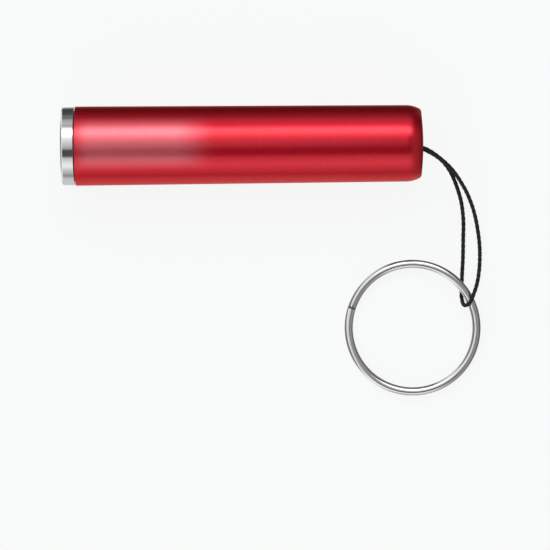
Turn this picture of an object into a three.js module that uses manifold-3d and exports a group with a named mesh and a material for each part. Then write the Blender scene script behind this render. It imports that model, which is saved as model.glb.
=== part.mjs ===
// Keychain flashlight: a turned aluminium barrel holding one AAA cell, a screw-in
// chrome head with the lamp and its driver, and a knotted cord loop with a split ring.
// Millimetres. The barrel lies along X with its head at -X, on the plane z = 0.
// Turned pieces are drawn in the barrel's own frame, where Y is the barrel's axis.

import * as THREE from 'three';
import { mergeVertices } from 'three/addons/utils/BufferGeometryUtils.js';
import Module from 'manifold-3d';

const wasm = await Module();
wasm.setup();

// ---------------------------------------------------------------- driving dimensions

const SIDES = 32;                     // facets round a large turned piece
const SMALL_SIDES = 16;               // facets round a small turned piece
const OVERALL_LENGTH = 67.05;
const BARREL_FRONT_RADIUS = 7.35;
const BARREL_TAIL_RADIUS = 7.1;
const BAND_RADIUS = 7.22;             // chrome band of the head
const BAND_LENGTH = 2.35;
const OFF_GAP = 0.2;                  // gap between band and barrel with the light off
const PITCH = 1.0;                    // thread pitch
const THREAD_TURNS = 4;
const CELL_RADIUS = 5.25;             // AAA cell
const CELL_LENGTH = 44.5;
const CORD_DIAMETER = 0.7;
const RING_OUTER_DIAMETER = 25.4;
const RING_WIRE_WIDTH = 1.53;         // across the ring, in its plane
const RING_WIRE_HEIGHT = 0.9;         // of one coil

// ---------------------------------------------------------------- derived places

const HEAD_X = -OVERALL_LENGTH / 2;
const TAIL_X = OVERALL_LENGTH / 2;
const BAND_BACK_X = HEAD_X + BAND_LENGTH;
const BARREL_X = BAND_BACK_X + OFF_GAP;
const AXIS_HEIGHT = BARREL_FRONT_RADIUS * Math.cos(Math.PI / SIDES);

const BORE_RADIUS = 5.95;
const SEAL_BORE_RADIUS = 6.7;
const LAND_RADIUS = 6.55;             // of the head, where it slides in the seal bore
const THREAD_X = BARREL_X + 1.7;      // where the barrel's thread starts
const THREAD_END_X = THREAD_X + THREAD_TURNS * PITCH + 0.9;
const FEMALE_MINOR = 6.05;
const MALE_MINOR = 5.9;
const MALE_MAJOR = 6.3;
const THREAD_CLEARANCE = 0.13;
const TAIL_WALL_X = TAIL_X - 1.6;     // inner face of the closed end
const CORD_HOLE_RADIUS = 1.7;

const SHELL_BORE = 5.25;              // inside of the head shell
const SHELL_BACK_X = -21.2;
const CHAMBER_RADIUS = 5.1;           // boards and reflector inside the shell
const LENS_RADIUS = 5.15;
const LIP_RADIUS = 4.75;              // window in front of the lens
const LIP_BACK_X = HEAD_X + 1.2;
const LED_BOARD_X = -25.7;
const DRIVER_BOARD_X = -22.9;
const CELL_FRONT_X = -20.65;
const CELL_BACK_X = CELL_FRONT_X + CELL_LENGTH;
const SPRING_PLATE_X = 27.95;
const KNOT_CUP_X = 28.4;

// ---------------------------------------------------------------- materials

function finish(color, roughness, metalness) {
  return { color, roughness, metalness };
}

const ANODISED = finish(0xb3192b, 0.34, 0.85);
const CHROME = finish(0xd6d8da, 0.12, 1.0);
const STEEL = finish(0xb9bcbf, 0.28, 1.0);
const NICKEL = finish(0xc9c6bd, 0.3, 1.0);
const BRASS = finish(0xc69a4a, 0.35, 1.0);
const REFLECTOR = finish(0xe4e6e8, 0.08, 1.0);
const CLEAR = finish(0xe8f0f2, 0.05, 0.0);
const RUBBER = finish(0x1b1b1c, 0.75, 0.0);
const BOARD = finish(0x1f5b38, 0.5, 0.0);
const WHITE_BOARD = finish(0xe9e8e3, 0.45, 0.0);
const BLACK_PLASTIC = finish(0x232325, 0.55, 0.0);
const WHITE_PLASTIC = finish(0xdedcd4, 0.55, 0.0);
const PHOSPHOR = finish(0xe6c84a, 0.4, 0.0);
const SLEEVE = finish(0xe9e6da, 0.6, 0.0);
const CELL_MIX = finish(0x2e2c2a, 0.9, 0.0);
const JACKET = finish(0x2f5d8c, 0.4, 0.0);
const FOAM = finish(0x2b2b2d, 0.9, 0.0);
const CORD = finish(0x231e1c, 0.85, 0.0);

// ---------------------------------------------------------------- geometry helpers

function signedVolume(position, index) {
  const a = new THREE.Vector3();
  const b = new THREE.Vector3();
  const c = new THREE.Vector3();
  let sum = 0;
  for (let i = 0; i < index.length; i += 3) {
    a.fromBufferAttribute(position, index[i]);
    b.fromBufferAttribute(position, index[i + 1]);
    c.fromBufferAttribute(position, index[i + 2]);
    sum += a.dot(b.cross(c)) / 6;
  }
  return sum;
}

// One closed indexed geometry with its faces outward, from any three.js geometry.
function closed(geometry) {
  const bare = geometry.clone();
  bare.deleteAttribute('normal');
  bare.deleteAttribute('uv');
  const merged = mergeVertices(bare, 1e-5);
  const source = merged.index.array;
  const index = [];
  for (let i = 0; i < source.length; i += 3) {
    const [a, b, c] = [source[i], source[i + 1], source[i + 2]];
    if (a !== b && b !== c && c !== a) index.push(a, b, c);
  }
  const inward = signedVolume(merged.attributes.position, index) < 0;
  for (let i = 0; inward && i < index.length; i += 3) {
    [index[i], index[i + 1]] = [index[i + 1], index[i]];
  }
  merged.setIndex(index);
  return merged;
}

function solid(geometry) {
  const shape = closed(geometry);
  const vertProperties = new Float32Array(shape.attributes.position.array);
  const triVerts = new Uint32Array(shape.index.array);
  return new wasm.Manifold(new wasm.Mesh({ numProp: 3, vertProperties, triVerts }));
}

function fromSolid(manifold) {
  const mesh = manifold.getMesh();
  const geometry = new THREE.BufferGeometry();
  geometry.setAttribute('position', new THREE.BufferAttribute(mesh.vertProperties, 3));
  geometry.setIndex(new THREE.BufferAttribute(mesh.triVerts, 1));
  return geometry;
}

function piece(name, look, geometry) {
  const material = new THREE.MeshStandardMaterial({ ...look, flatShading: true });
  const mesh = new THREE.Mesh(geometry, material);
  mesh.name = name;
  return mesh;
}

// A lathe about the barrel's axis. The profile lists [place along the axis, radius].
// A facet, not an edge, faces straight down.
function lathe(profile, sides = SIDES) {
  const points = profile.map(([x, radius]) => new THREE.Vector2(radius, x));
  return closed(new THREE.LatheGeometry(points, sides, Math.PI / sides));
}

function disc(x0, x1, radius, sides = SIDES) {
  return lathe([[x0, 0], [x0, radius], [x1, radius], [x1, 0]], sides);
}

function ring(x0, x1, inner, outer, sides = SIDES) {
  return lathe([[x0, inner], [x0, outer], [x1, outer], [x1, inner], [x0, inner]], sides);
}

// A box on the barrel's axis frame: place along the axis, then offsets across it.
function block(x0, x1, across, up, offsetAcross = 0, offsetUp = 0) {
  const geometry = new THREE.BoxGeometry(across, x1 - x0, up);
  geometry.translate(offsetAcross, (x0 + x1) / 2, offsetUp);
  return closed(geometry);
}

function round(x0, x1, radius, offsetAcross, offsetUp) {
  const geometry = disc(x0, x1, radius, SMALL_SIDES);
  geometry.translate(offsetAcross, 0, offsetUp);
  return geometry;
}

function circleShape(radius, sides) {
  const shape = new THREE.Shape();
  for (let i = 0; i < sides; i += 1) {
    const angle = (i / sides) * 2 * Math.PI;
    const [u, v] = [radius * Math.cos(angle), radius * Math.sin(angle)];
    if (i === 0) shape.moveTo(u, v);
    else shape.lineTo(u, v);
  }
  return shape;
}

function sweep(shape, path, steps) {
  const options = { steps, extrudePath: path, curveSegments: 1 };
  return closed(new THREE.ExtrudeGeometry(shape, options));
}

// ---------------------------------------------------------------- thread

// A right-hand helical ridge of trapezoid section, drawn with the lathe's facets.
function threadRidge(x0, turns, rootRadius, crestRadius, rootHalf, crestHalf) {
  const steps = Math.round(turns * SIDES);
  const positions = [];
  const index = [];
  for (let i = 0; i <= steps; i += 1) {
    const angle = ((i + 0.5) / SIDES) * 2 * Math.PI;
    const x = x0 + (i / SIDES) * PITCH;
    const section = [
      [x - rootHalf, rootRadius],
      [x - crestHalf, crestRadius],
      [x + crestHalf, crestRadius],
      [x + rootHalf, rootRadius],
    ];
    for (const [along, radius] of section) {
      positions.push(radius * Math.sin(angle), along, radius * Math.cos(angle));
    }
  }
  for (let i = 0; i < steps; i += 1) {
    for (let k = 0; k < 4; k += 1) {
      const a = i * 4 + k;
      const b = i * 4 + ((k + 1) % 4);
      index.push(a, b, b + 4, a, b + 4, a + 4);
    }
  }
  const last = steps * 4;
  index.push(0, 2, 1, 0, 3, 2);
  index.push(last, last + 1, last + 2, last, last + 2, last + 3);
  const geometry = new THREE.BufferGeometry();
  geometry.setAttribute('position', new THREE.Float32BufferAttribute(positions, 3));
  geometry.setIndex(index);
  return geometry;
}

const CREST_HALF = 0.12;
const ROOT_HALF = 0.34;
const ROOT_SINK = 0.1;                // how far a ridge's foot sinks into what it joins

function maleThread() {
  const slope = (ROOT_HALF - CREST_HALF) / (MALE_MAJOR - MALE_MINOR);
  const foot = ROOT_HALF + ROOT_SINK * slope;
  const root = MALE_MINOR - ROOT_SINK;
  const start = THREAD_X + 0.2;
  return threadRidge(start, THREAD_TURNS, root, MALE_MAJOR, foot, CREST_HALF);
}

function femaleThread() {
  const slope = (ROOT_HALF - CREST_HALF) / (MALE_MAJOR - MALE_MINOR);
  const root = MALE_MINOR - ROOT_SINK;
  const foot = ROOT_HALF + ROOT_SINK * slope + THREAD_CLEARANCE;
  const crest = MALE_MAJOR + THREAD_CLEARANCE;
  const start = THREAD_X + 0.2 - PITCH;
  const turns = THREAD_TURNS + 1.5;
  return threadRidge(start, turns, root, crest, foot, CREST_HALF + THREAD_CLEARANCE);
}

// ---------------------------------------------------------------- barrel

const TAIL_ARC_RADIUS = 5.1;          // rounding of the tail, seen from the side
const TAIL_ARC_X = TAIL_X - 3.2;
const TAIL_ARC_LENGTH = 2.6;
const TAIL_ARC_STEPS = 4;
const TAIL_DOME_RADIUS = 49;          // the slightly domed end face
const TAIL_CORNER = [TAIL_X - 0.44, 6.1];     // where the rounding meets the end face

function tailProfile() {
  const points = [];
  for (let i = 0; i <= TAIL_ARC_STEPS; i += 1) {
    const along = (i / TAIL_ARC_STEPS) * TAIL_ARC_LENGTH;
    const drop = TAIL_ARC_RADIUS - Math.sqrt(TAIL_ARC_RADIUS ** 2 - along ** 2);
    points.push([TAIL_ARC_X + along, BARREL_TAIL_RADIUS - drop]);
  }
  points.push(TAIL_CORNER);
  for (const radius of [5.4, 3.6, CORD_HOLE_RADIUS]) {
    points.push([TAIL_X - radius ** 2 / (2 * TAIL_DOME_RADIUS), radius]);
  }
  return points;
}

function barrel() {
  const chamfer = 0.12;
  const profile = [
    [BARREL_X, SEAL_BORE_RADIUS],
    [BARREL_X, BARREL_FRONT_RADIUS - chamfer],
    [BARREL_X + chamfer, BARREL_FRONT_RADIUS],
    ...tailProfile(),
    [TAIL_WALL_X, CORD_HOLE_RADIUS],
    [TAIL_WALL_X, BORE_RADIUS],
    [THREAD_END_X, BORE_RADIUS],
    [THREAD_END_X, FEMALE_MINOR],
    [THREAD_X, FEMALE_MINOR],
    [THREAD_X, SEAL_BORE_RADIUS],
    [BARREL_X, SEAL_BORE_RADIUS],
  ];
  return fromSolid(solid(lathe(profile)).subtract(solid(femaleThread())));
}

// ---------------------------------------------------------------- head

const SEAL_GROOVE_X = BAND_BACK_X + 0.4;
const SEAL_GROOVE_WIDTH = 1.0;
const SEAL_GROOVE_RADIUS = 5.7;
const SEAL_SECTION = 0.4;             // radius of the O-ring's own section

function headShell() {
  const rimInner = 6.15;              // the flat rim round the lens
  const rimOuter = 6.7;
  const edgeLength = 0.5;             // rounding of the band's front edge
  const edgeMiddle = [0.15, 0.31];    // a point of it, from the rim's outer corner
  const lipFrontX = HEAD_X + 0.8;
  const landEnd = THREAD_X - 0.25;
  const threadEnd = THREAD_X + THREAD_TURNS * PITCH + 0.6;
  const skirtRadius = 5.75;
  const profile = [
    [HEAD_X, rimInner],
    [HEAD_X, rimOuter],
    [HEAD_X + edgeMiddle[0], rimOuter + edgeMiddle[1]],
    [HEAD_X + edgeLength, BAND_RADIUS],
    [BAND_BACK_X, BAND_RADIUS],
    [BAND_BACK_X, LAND_RADIUS],
    [SEAL_GROOVE_X, LAND_RADIUS],
    [SEAL_GROOVE_X, SEAL_GROOVE_RADIUS],
    [SEAL_GROOVE_X + SEAL_GROOVE_WIDTH, SEAL_GROOVE_RADIUS],
    [SEAL_GROOVE_X + SEAL_GROOVE_WIDTH, LAND_RADIUS],
    [landEnd, LAND_RADIUS],
    [landEnd, MALE_MINOR],
    [threadEnd, MALE_MINOR],
    [threadEnd, skirtRadius],
    [SHELL_BACK_X, skirtRadius],
    [SHELL_BACK_X, SHELL_BORE],
    [LIP_BACK_X, SHELL_BORE],
    [LIP_BACK_X, LIP_RADIUS],
    [lipFrontX, LIP_RADIUS],
    [HEAD_X, rimInner],
  ];
  return fromSolid(solid(lathe(profile)).add(solid(maleThread())));
}

function headSeal() {
  const radius = SEAL_GROOVE_RADIUS + 0.1 + SEAL_SECTION;
  const geometry = new THREE.TorusGeometry(radius, SEAL_SECTION, 8, SIDES);
  geometry.rotateX(Math.PI / 2);
  geometry.rotateY(Math.PI / SIDES);
  geometry.translate(0, SEAL_GROOVE_X + SEAL_GROOVE_WIDTH / 2, 0);
  return closed(geometry);
}

// A parabolic cup, thin-walled, with a flat rim in front and a flat foot behind.
function reflectorCup() {
  const frontX = LIP_BACK_X + 1.6;
  const footX = LED_BOARD_X - 1.0;
  const footReach = 0.9;
  const footDepth = 0.35;
  const rimDepth = 0.4;
  const wall = 0.25;
  const focal = 1.2;
  const vertexX = LED_BOARD_X - 0.59;
  const steps = 5;
  const inside = [];
  for (let i = 0; i <= steps; i += 1) {
    const x = frontX + (i / steps) * (footX - frontX);
    inside.push([x, Math.sqrt(4 * focal * (vertexX - x))]);
  }
  const outside = inside.map(([x, radius]) => [x, radius + wall]).slice(1, -1).reverse();
  const [, throat] = inside[steps];
  return lathe([
    ...inside,
    [footX, throat + footReach],
    [footX - footDepth, throat + footReach],
    ...outside.filter(([x]) => x < footX - footDepth),
    [frontX + rimDepth, CHAMBER_RADIUS],
    [frontX, CHAMBER_RADIUS],
    inside[0],
  ]);
}

function ledDome() {
  const radius = 1.1;
  const base = LED_BOARD_X - 0.6;
  const steps = 4;
  const profile = [[base, 0]];
  for (let i = 0; i <= steps; i += 1) {
    const angle = (i / steps) * (Math.PI / 2);
    profile.push([base - radius * Math.sin(angle), radius * Math.cos(angle)]);
  }
  profile[profile.length - 1][1] = 0;
  return lathe(profile, SMALL_SIDES);
}

// Parts stacked along the axis stand this far apart.
const STACK_GAP = 0.05;

function lampPieces() {
  const gasketX = LIP_BACK_X + STACK_GAP;
  const lensX = gasketX + 0.45;
  const spacer = ring(LED_BOARD_X - 0.95, LED_BOARD_X - STACK_GAP, 2.5, 4.9);
  const ledSize = 3.0;
  const led = block(LED_BOARD_X - 0.55, LED_BOARD_X - STACK_GAP, ledSize, ledSize);
  return [
    piece('head_shell', CHROME, headShell()),
    piece('lens_gasket', RUBBER, ring(gasketX, gasketX + 0.4, LIP_RADIUS, LENS_RADIUS)),
    piece('lens', CLEAR, disc(lensX, lensX + 1.0, LENS_RADIUS)),
    piece('reflector', REFLECTOR, reflectorCup()),
    piece('led_spacer', WHITE_PLASTIC, spacer),
    piece('led_package', PHOSPHOR, led),
    piece('led_dome', CLEAR, ledDome()),
    piece('led_board', WHITE_BOARD, disc(LED_BOARD_X, LED_BOARD_X + 1.0, CHAMBER_RADIUS)),
  ];
}

// The two boards face each other. Parts and leads fill the chamber between them.
function driverPieces() {
  const chamberX = LED_BOARD_X + 1.0 + STACK_GAP;
  const chamberEnd = DRIVER_BOARD_X - STACK_GAP;
  const backX = DRIVER_BOARD_X + 0.8 + STACK_GAP;
  const leadRadius = 0.35;
  return [
    piece('driver_inductor', BLACK_PLASTIC, round(chamberX + 0.1, chamberEnd, 1.5, 1.9, 1.7)),
    piece('driver_chip', BLACK_PLASTIC, block(chamberEnd - 0.9, chamberEnd, 2.6, 1.6, -2.2, 1.8)),
    piece('driver_capacitor', BRASS, block(chamberEnd - 0.8, chamberEnd, 1.6, 0.9, 1.8, -2.0)),
    piece('positive_lead', BRASS, round(chamberX, chamberEnd, leadRadius, -1.5, -2.8)),
    piece('negative_lead', BRASS, round(chamberX, chamberEnd, leadRadius, -3.6, -0.8)),
    piece('driver_board', BOARD, disc(DRIVER_BOARD_X, DRIVER_BOARD_X + 0.8, CHAMBER_RADIUS)),
    piece('contact_button', BRASS, disc(backX, SHELL_BACK_X + 0.3, 1.5, SMALL_SIDES)),
    piece('retaining_ring', BRASS, ring(backX, SHELL_BACK_X - 0.1, 4.1, LENS_RADIUS)),
  ];
}

// ---------------------------------------------------------------- cell and tail parts

function cellPieces() {
  const shoulderX = CELL_FRONT_X + 1.2;
  const capRadius = 3.4;
  const nubRadius = 1.9;
  const canRadius = CELL_RADIUS - 0.17;
  const capX = shoulderX - 0.2;
  const canWall = 0.25;
  const coreX = shoulderX + 0.5;
  const coreEndX = CELL_BACK_X - 0.6;
  return [
    piece('battery_positive_cap', NICKEL, lathe([
      [CELL_FRONT_X, 0], [CELL_FRONT_X, nubRadius - 0.3], [CELL_FRONT_X + 0.2, nubRadius],
      [capX, nubRadius], [capX, capRadius], [capX + 0.25, capRadius], [capX + 0.25, 0],
    ])),
    piece('battery_seal_ring', BLACK_PLASTIC, ring(capX, capX + 0.35, capRadius + 0.05, 4.7)),
    piece('battery_can', STEEL, lathe([
      [coreX, canRadius - canWall], [shoulderX + 0.2, canRadius - canWall],
      [shoulderX - 0.1, 4.75], [shoulderX - 0.1, 4.95], [shoulderX, canRadius],
      [CELL_BACK_X - 0.3, canRadius], [CELL_BACK_X - 0.1, 4.7], [CELL_BACK_X - 0.1, 3.9],
      [CELL_BACK_X, 3.7], [CELL_BACK_X, 0], [coreEndX + 0.05, 0],
      [coreEndX + 0.05, canRadius - canWall], [coreX, canRadius - canWall],
    ])),
    piece('battery_core', CELL_MIX, disc(coreX, coreEndX, canRadius - canWall - 0.05)),
    piece('battery_jacket', JACKET,
      ring(shoulderX + 0.1, CELL_BACK_X - 0.4, canRadius + 0.05, CELL_RADIUS)),
  ];
}

const SPRING_WIRE = 0.7;
const SPRING_TURNS = 4;
const SPRING_TIP_RADIUS = 2.2;        // where it presses on the cell
const SPRING_FOOT_RADIUS = 4.3;
const SPRING_END_GAP = 0.1;

class ConicalSpringPath extends THREE.Curve {
  getPoint(t, target = new THREE.Vector3()) {
    const radius = THREE.MathUtils.lerp(SPRING_TIP_RADIUS, SPRING_FOOT_RADIUS, t);
    const angle = t * SPRING_TURNS * 2 * Math.PI;
    const inset = SPRING_WIRE / 2 + SPRING_END_GAP;
    const x = THREE.MathUtils.lerp(CELL_BACK_X + inset, SPRING_PLATE_X - inset, t);
    return target.set(radius * Math.cos(angle), x, radius * Math.sin(angle));
  }
}

function tailSpring() {
  return sweep(circleShape(SPRING_WIRE / 2, 6), new ConicalSpringPath(), 16 * SPRING_TURNS);
}

function knotCup() {
  const outer = 5.8;
  const pocket = 2.4;
  const pocketX = KNOT_CUP_X + 1.2;
  const mouthX = TAIL_WALL_X - 0.05;
  return lathe([
    [KNOT_CUP_X, 0], [KNOT_CUP_X, outer], [mouthX, outer],
    [mouthX, pocket], [pocketX, pocket], [pocketX, 0],
  ]);
}

function tailPieces() {
  const sleeveX = CELL_FRONT_X + 1.15;
  return [
    piece('foam_ring', FOAM, ring(CELL_FRONT_X - 0.35, CELL_FRONT_X + 0.85, 2.6, 4.7)),
    piece('battery_sleeve', SLEEVE, ring(sleeveX, CELL_BACK_X - 0.35, 5.4, 5.8)),
    piece('tail_spring', STEEL, tailSpring()),
    piece('spring_plate', BRASS, disc(SPRING_PLATE_X, KNOT_CUP_X - 0.05, 5.6)),
    piece('knot_cup', BLACK_PLASTIC, knotCup()),
  ];
}

// ---------------------------------------------------------------- cord

// The cord runs out of the tail's hole, over the split ring, round its wire from the
// inside, back under it and into the hole again. Places are [x, y, z].
const CORD_ROUTE = [
  [32.03, -0.55, 7.75],
  [33.52, -0.90, 7.75],
  [34.71, -1.46, 7.60],
  [36.09, -2.39, 7.30],
  [37.45, -3.52, 6.95],
  [38.61, -4.63, 6.55],
  [39.66, -5.93, 6.05],
  [40.64, -7.41, 5.40],
  [41.74, -9.35, 4.45],
  [43.01, -12.57, 2.75],
  [43.78, -15.98, 1.40],
  [44.18, -19.66, 0.80],
  [44.01, -23.51, 1.55],
  [43.45, -26.35, 2.95],
  [42.79, -28.20, 3.52],
  [42.33, -29.32, 3.52],
  [41.82, -29.98, 3.28],
  [41.27, -30.20, 2.55],
  [40.95, -29.93, 1.60],
  [40.79, -29.22, 0.82],
  [40.69, -28.30, 0.42],
  [40.74, -27.30, 0.37],
  [40.79, -26.00, 0.37],
  [40.86, -24.30, 0.40],
  [41.04, -21.23, 0.42],
  [41.12, -17.61, 0.55],
  [41.14, -14.29, 1.25],
  [40.69, -10.89, 2.75],
  [40.05, -8.67, 3.70],
  [39.51, -7.19, 4.35],
  [39.01, -6.08, 4.85],
  [38.42, -4.97, 5.35],
  [37.76, -4.05, 5.75],
  [36.89, -3.12, 6.15],
  [35.79, -2.29, 6.50],
  [34.63, -1.63, 6.78],
  [33.55, -1.11, 6.85],
  [32.03, -0.72, 6.85],
];
const CORD_SIDES = 8;
const CORD_STEPS = 78;

function cordLoop() {
  const points = CORD_ROUTE.map((place) => new THREE.Vector3(...place));
  const path = new THREE.CatmullRomCurve3(points, false, 'centripetal');
  return sweep(circleShape(CORD_DIAMETER / 2, CORD_SIDES), path, CORD_STEPS);
}

// The two ends are tied together inside the tail, in a knot wider than the hole.
function cordKnot() {
  const geometry = new THREE.TorusKnotGeometry(1.1, CORD_DIAMETER / 2, 64, 6, 2, 3);
  geometry.rotateX(Math.PI / 2);
  geometry.translate(0, TAIL_WALL_X - 1.25, 0);
  return closed(geometry);
}

// ---------------------------------------------------------------- split ring

const RING_RADIUS = (RING_OUTER_DIAMETER - RING_WIRE_WIDTH) / 2;
const RING_COIL_PITCH = RING_WIRE_HEIGHT + 0.1;
const RING_TURNS = 1.94;
const RING_END_ANGLE = 3.21;          // where the lower coil's free end lies, radians
const RING_JOG = 0.12;                // share of the wire over which it changes level
const RING_TILT = 0.0395;             // radians: the cord under it lifts its near side
const RING_LIFT_ANGLE = 0.593;        // direction of the lifted side, radians
const RING_CENTRE = [31.43, -34.3];

class SplitRingPath extends THREE.Curve {
  getPoint(t, target = new THREE.Vector3()) {
    const angle = RING_END_ANGLE + t * RING_TURNS * 2 * Math.PI;
    const level = THREE.MathUtils.smoothstep(t, 0.5 - RING_JOG / 2, 0.5 + RING_JOG / 2);
    const height = (level - 0.5) * RING_COIL_PITCH;
    return target.set(RING_RADIUS * Math.cos(angle), RING_RADIUS * Math.sin(angle), height);
  }
}

// An eight-sided section with cut corners: first across the coil, then in its plane.
function ringSection() {
  const halfHeight = RING_WIRE_HEIGHT / 2;
  const halfWidth = RING_WIRE_WIDTH / 2;
  const cut = 0.22;
  const corners = [
    [halfHeight, halfWidth - cut], [halfHeight - cut, halfWidth],
    [cut - halfHeight, halfWidth], [-halfHeight, halfWidth - cut],
    [-halfHeight, cut - halfWidth], [cut - halfHeight, -halfWidth],
    [halfHeight - cut, -halfWidth], [halfHeight, cut - halfWidth],
  ];
  return new THREE.Shape(corners.map(([u, v]) => new THREE.Vector2(u, v)));
}

function splitRing() {
  const mesh = piece('split_ring', STEEL, sweep(ringSection(), new SplitRingPath(), 96));
  const halfStack = RING_COIL_PITCH / 2 + RING_WIRE_HEIGHT / 2;
  const rise = halfStack + (RING_OUTER_DIAMETER / 2) * Math.sin(RING_TILT);
  mesh.position.set(...RING_CENTRE, rise);
  const [c, s] = [Math.cos(RING_LIFT_ANGLE), Math.sin(RING_LIFT_ANGLE)];
  mesh.quaternion.setFromAxisAngle(new THREE.Vector3(s, -c, 0), RING_TILT);
  return mesh;
}

// ---------------------------------------------------------------- assembly

const tube = new THREE.Group();
tube.rotation.z = -Math.PI / 2;
tube.position.z = AXIS_HEIGHT;
tube.add(piece('barrel', ANODISED, barrel()));
tube.add(piece('head_o_ring', RUBBER, headSeal()));
tube.add(...lampPieces(), ...driverPieces(), ...cellPieces(), ...tailPieces());
tube.add(piece('cord_knot', CORD, cordKnot()));

const flashlight = new THREE.Group();
flashlight.add(tube, piece('cord_loop', CORD, cordLoop()), splitRing());

export default flashlight;
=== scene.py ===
"""Keychain flashlight: the looks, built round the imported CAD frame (Blender 4.5)."""

import math

import bpy
import numpy as np
from mathutils import Matrix, Vector


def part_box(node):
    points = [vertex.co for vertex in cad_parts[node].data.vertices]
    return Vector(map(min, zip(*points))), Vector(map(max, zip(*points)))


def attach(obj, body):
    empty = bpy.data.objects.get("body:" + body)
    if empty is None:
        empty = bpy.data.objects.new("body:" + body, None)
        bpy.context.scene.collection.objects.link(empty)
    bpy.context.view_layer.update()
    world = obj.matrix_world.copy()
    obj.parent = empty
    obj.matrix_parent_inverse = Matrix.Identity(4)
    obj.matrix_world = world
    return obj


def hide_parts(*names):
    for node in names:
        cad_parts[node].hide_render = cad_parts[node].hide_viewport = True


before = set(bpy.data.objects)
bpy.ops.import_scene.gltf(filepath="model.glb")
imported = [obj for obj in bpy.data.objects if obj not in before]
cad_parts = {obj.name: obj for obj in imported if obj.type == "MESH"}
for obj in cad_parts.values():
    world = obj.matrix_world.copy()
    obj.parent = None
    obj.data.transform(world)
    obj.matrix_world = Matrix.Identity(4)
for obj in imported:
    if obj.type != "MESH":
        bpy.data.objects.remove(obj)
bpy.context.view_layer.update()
MM = 0.001

# ---------------------------------------------------------------- sizes from the frame

BARREL_LOW, BARREL_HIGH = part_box("barrel")
SHELL_LOW, SHELL_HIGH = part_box("head_shell")
AXIS_Z = (BARREL_LOW.z + BARREL_HIGH.z) / 2
HALF_FACET = math.pi / 32             # the CAD's large turned pieces have 32 sides
FACET = math.cos(HALF_FACET)          # their flats' distance from the axis over the radius
BARREL_RADIUS = (BARREL_HIGH.y - BARREL_LOW.y) / 2 / FACET
BAND_RADIUS = (SHELL_HIGH.y - SHELL_LOW.y) / 2 / FACET
HEAD_X = SHELL_LOW.x
TAIL_X = BARREL_HIGH.x
BARREL_X = BARREL_LOW.x
CORD_DIAMETER = 0.7 * MM
PITCH = 1.0 * MM
THREAD_X = BARREL_X + 1.7 * MM

# ---------------------------------------------------------------- camera

# Straight overhead, as in the photo, with the object's front towards the picture's bottom.
CAMERA_X = 0.0058
CAMERA_Y = -0.02422
CAMERA_HEIGHT = 0.70735
CAMERA_TURN = math.radians(-0.5)
CAMERA_LENS = 246.96
CAMERA_SENSOR = 36.0
CAMERA_NEAR = 0.01
CAMERA_FAR = 20.0


def add_camera():
    data = bpy.data.cameras.new("camera")
    data.sensor_width = CAMERA_SENSOR
    data.lens = CAMERA_LENS
    data.clip_start = CAMERA_NEAR
    data.clip_end = CAMERA_FAR
    camera = bpy.data.objects.new("camera", data)
    camera.location = (CAMERA_X, CAMERA_Y, CAMERA_HEIGHT)
    camera.rotation_euler = (0.0, 0.0, CAMERA_TURN)
    bpy.context.scene.collection.objects.link(camera)
    bpy.context.scene.camera = camera


add_camera()

# ---------------------------------------------------------------- node materials


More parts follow.
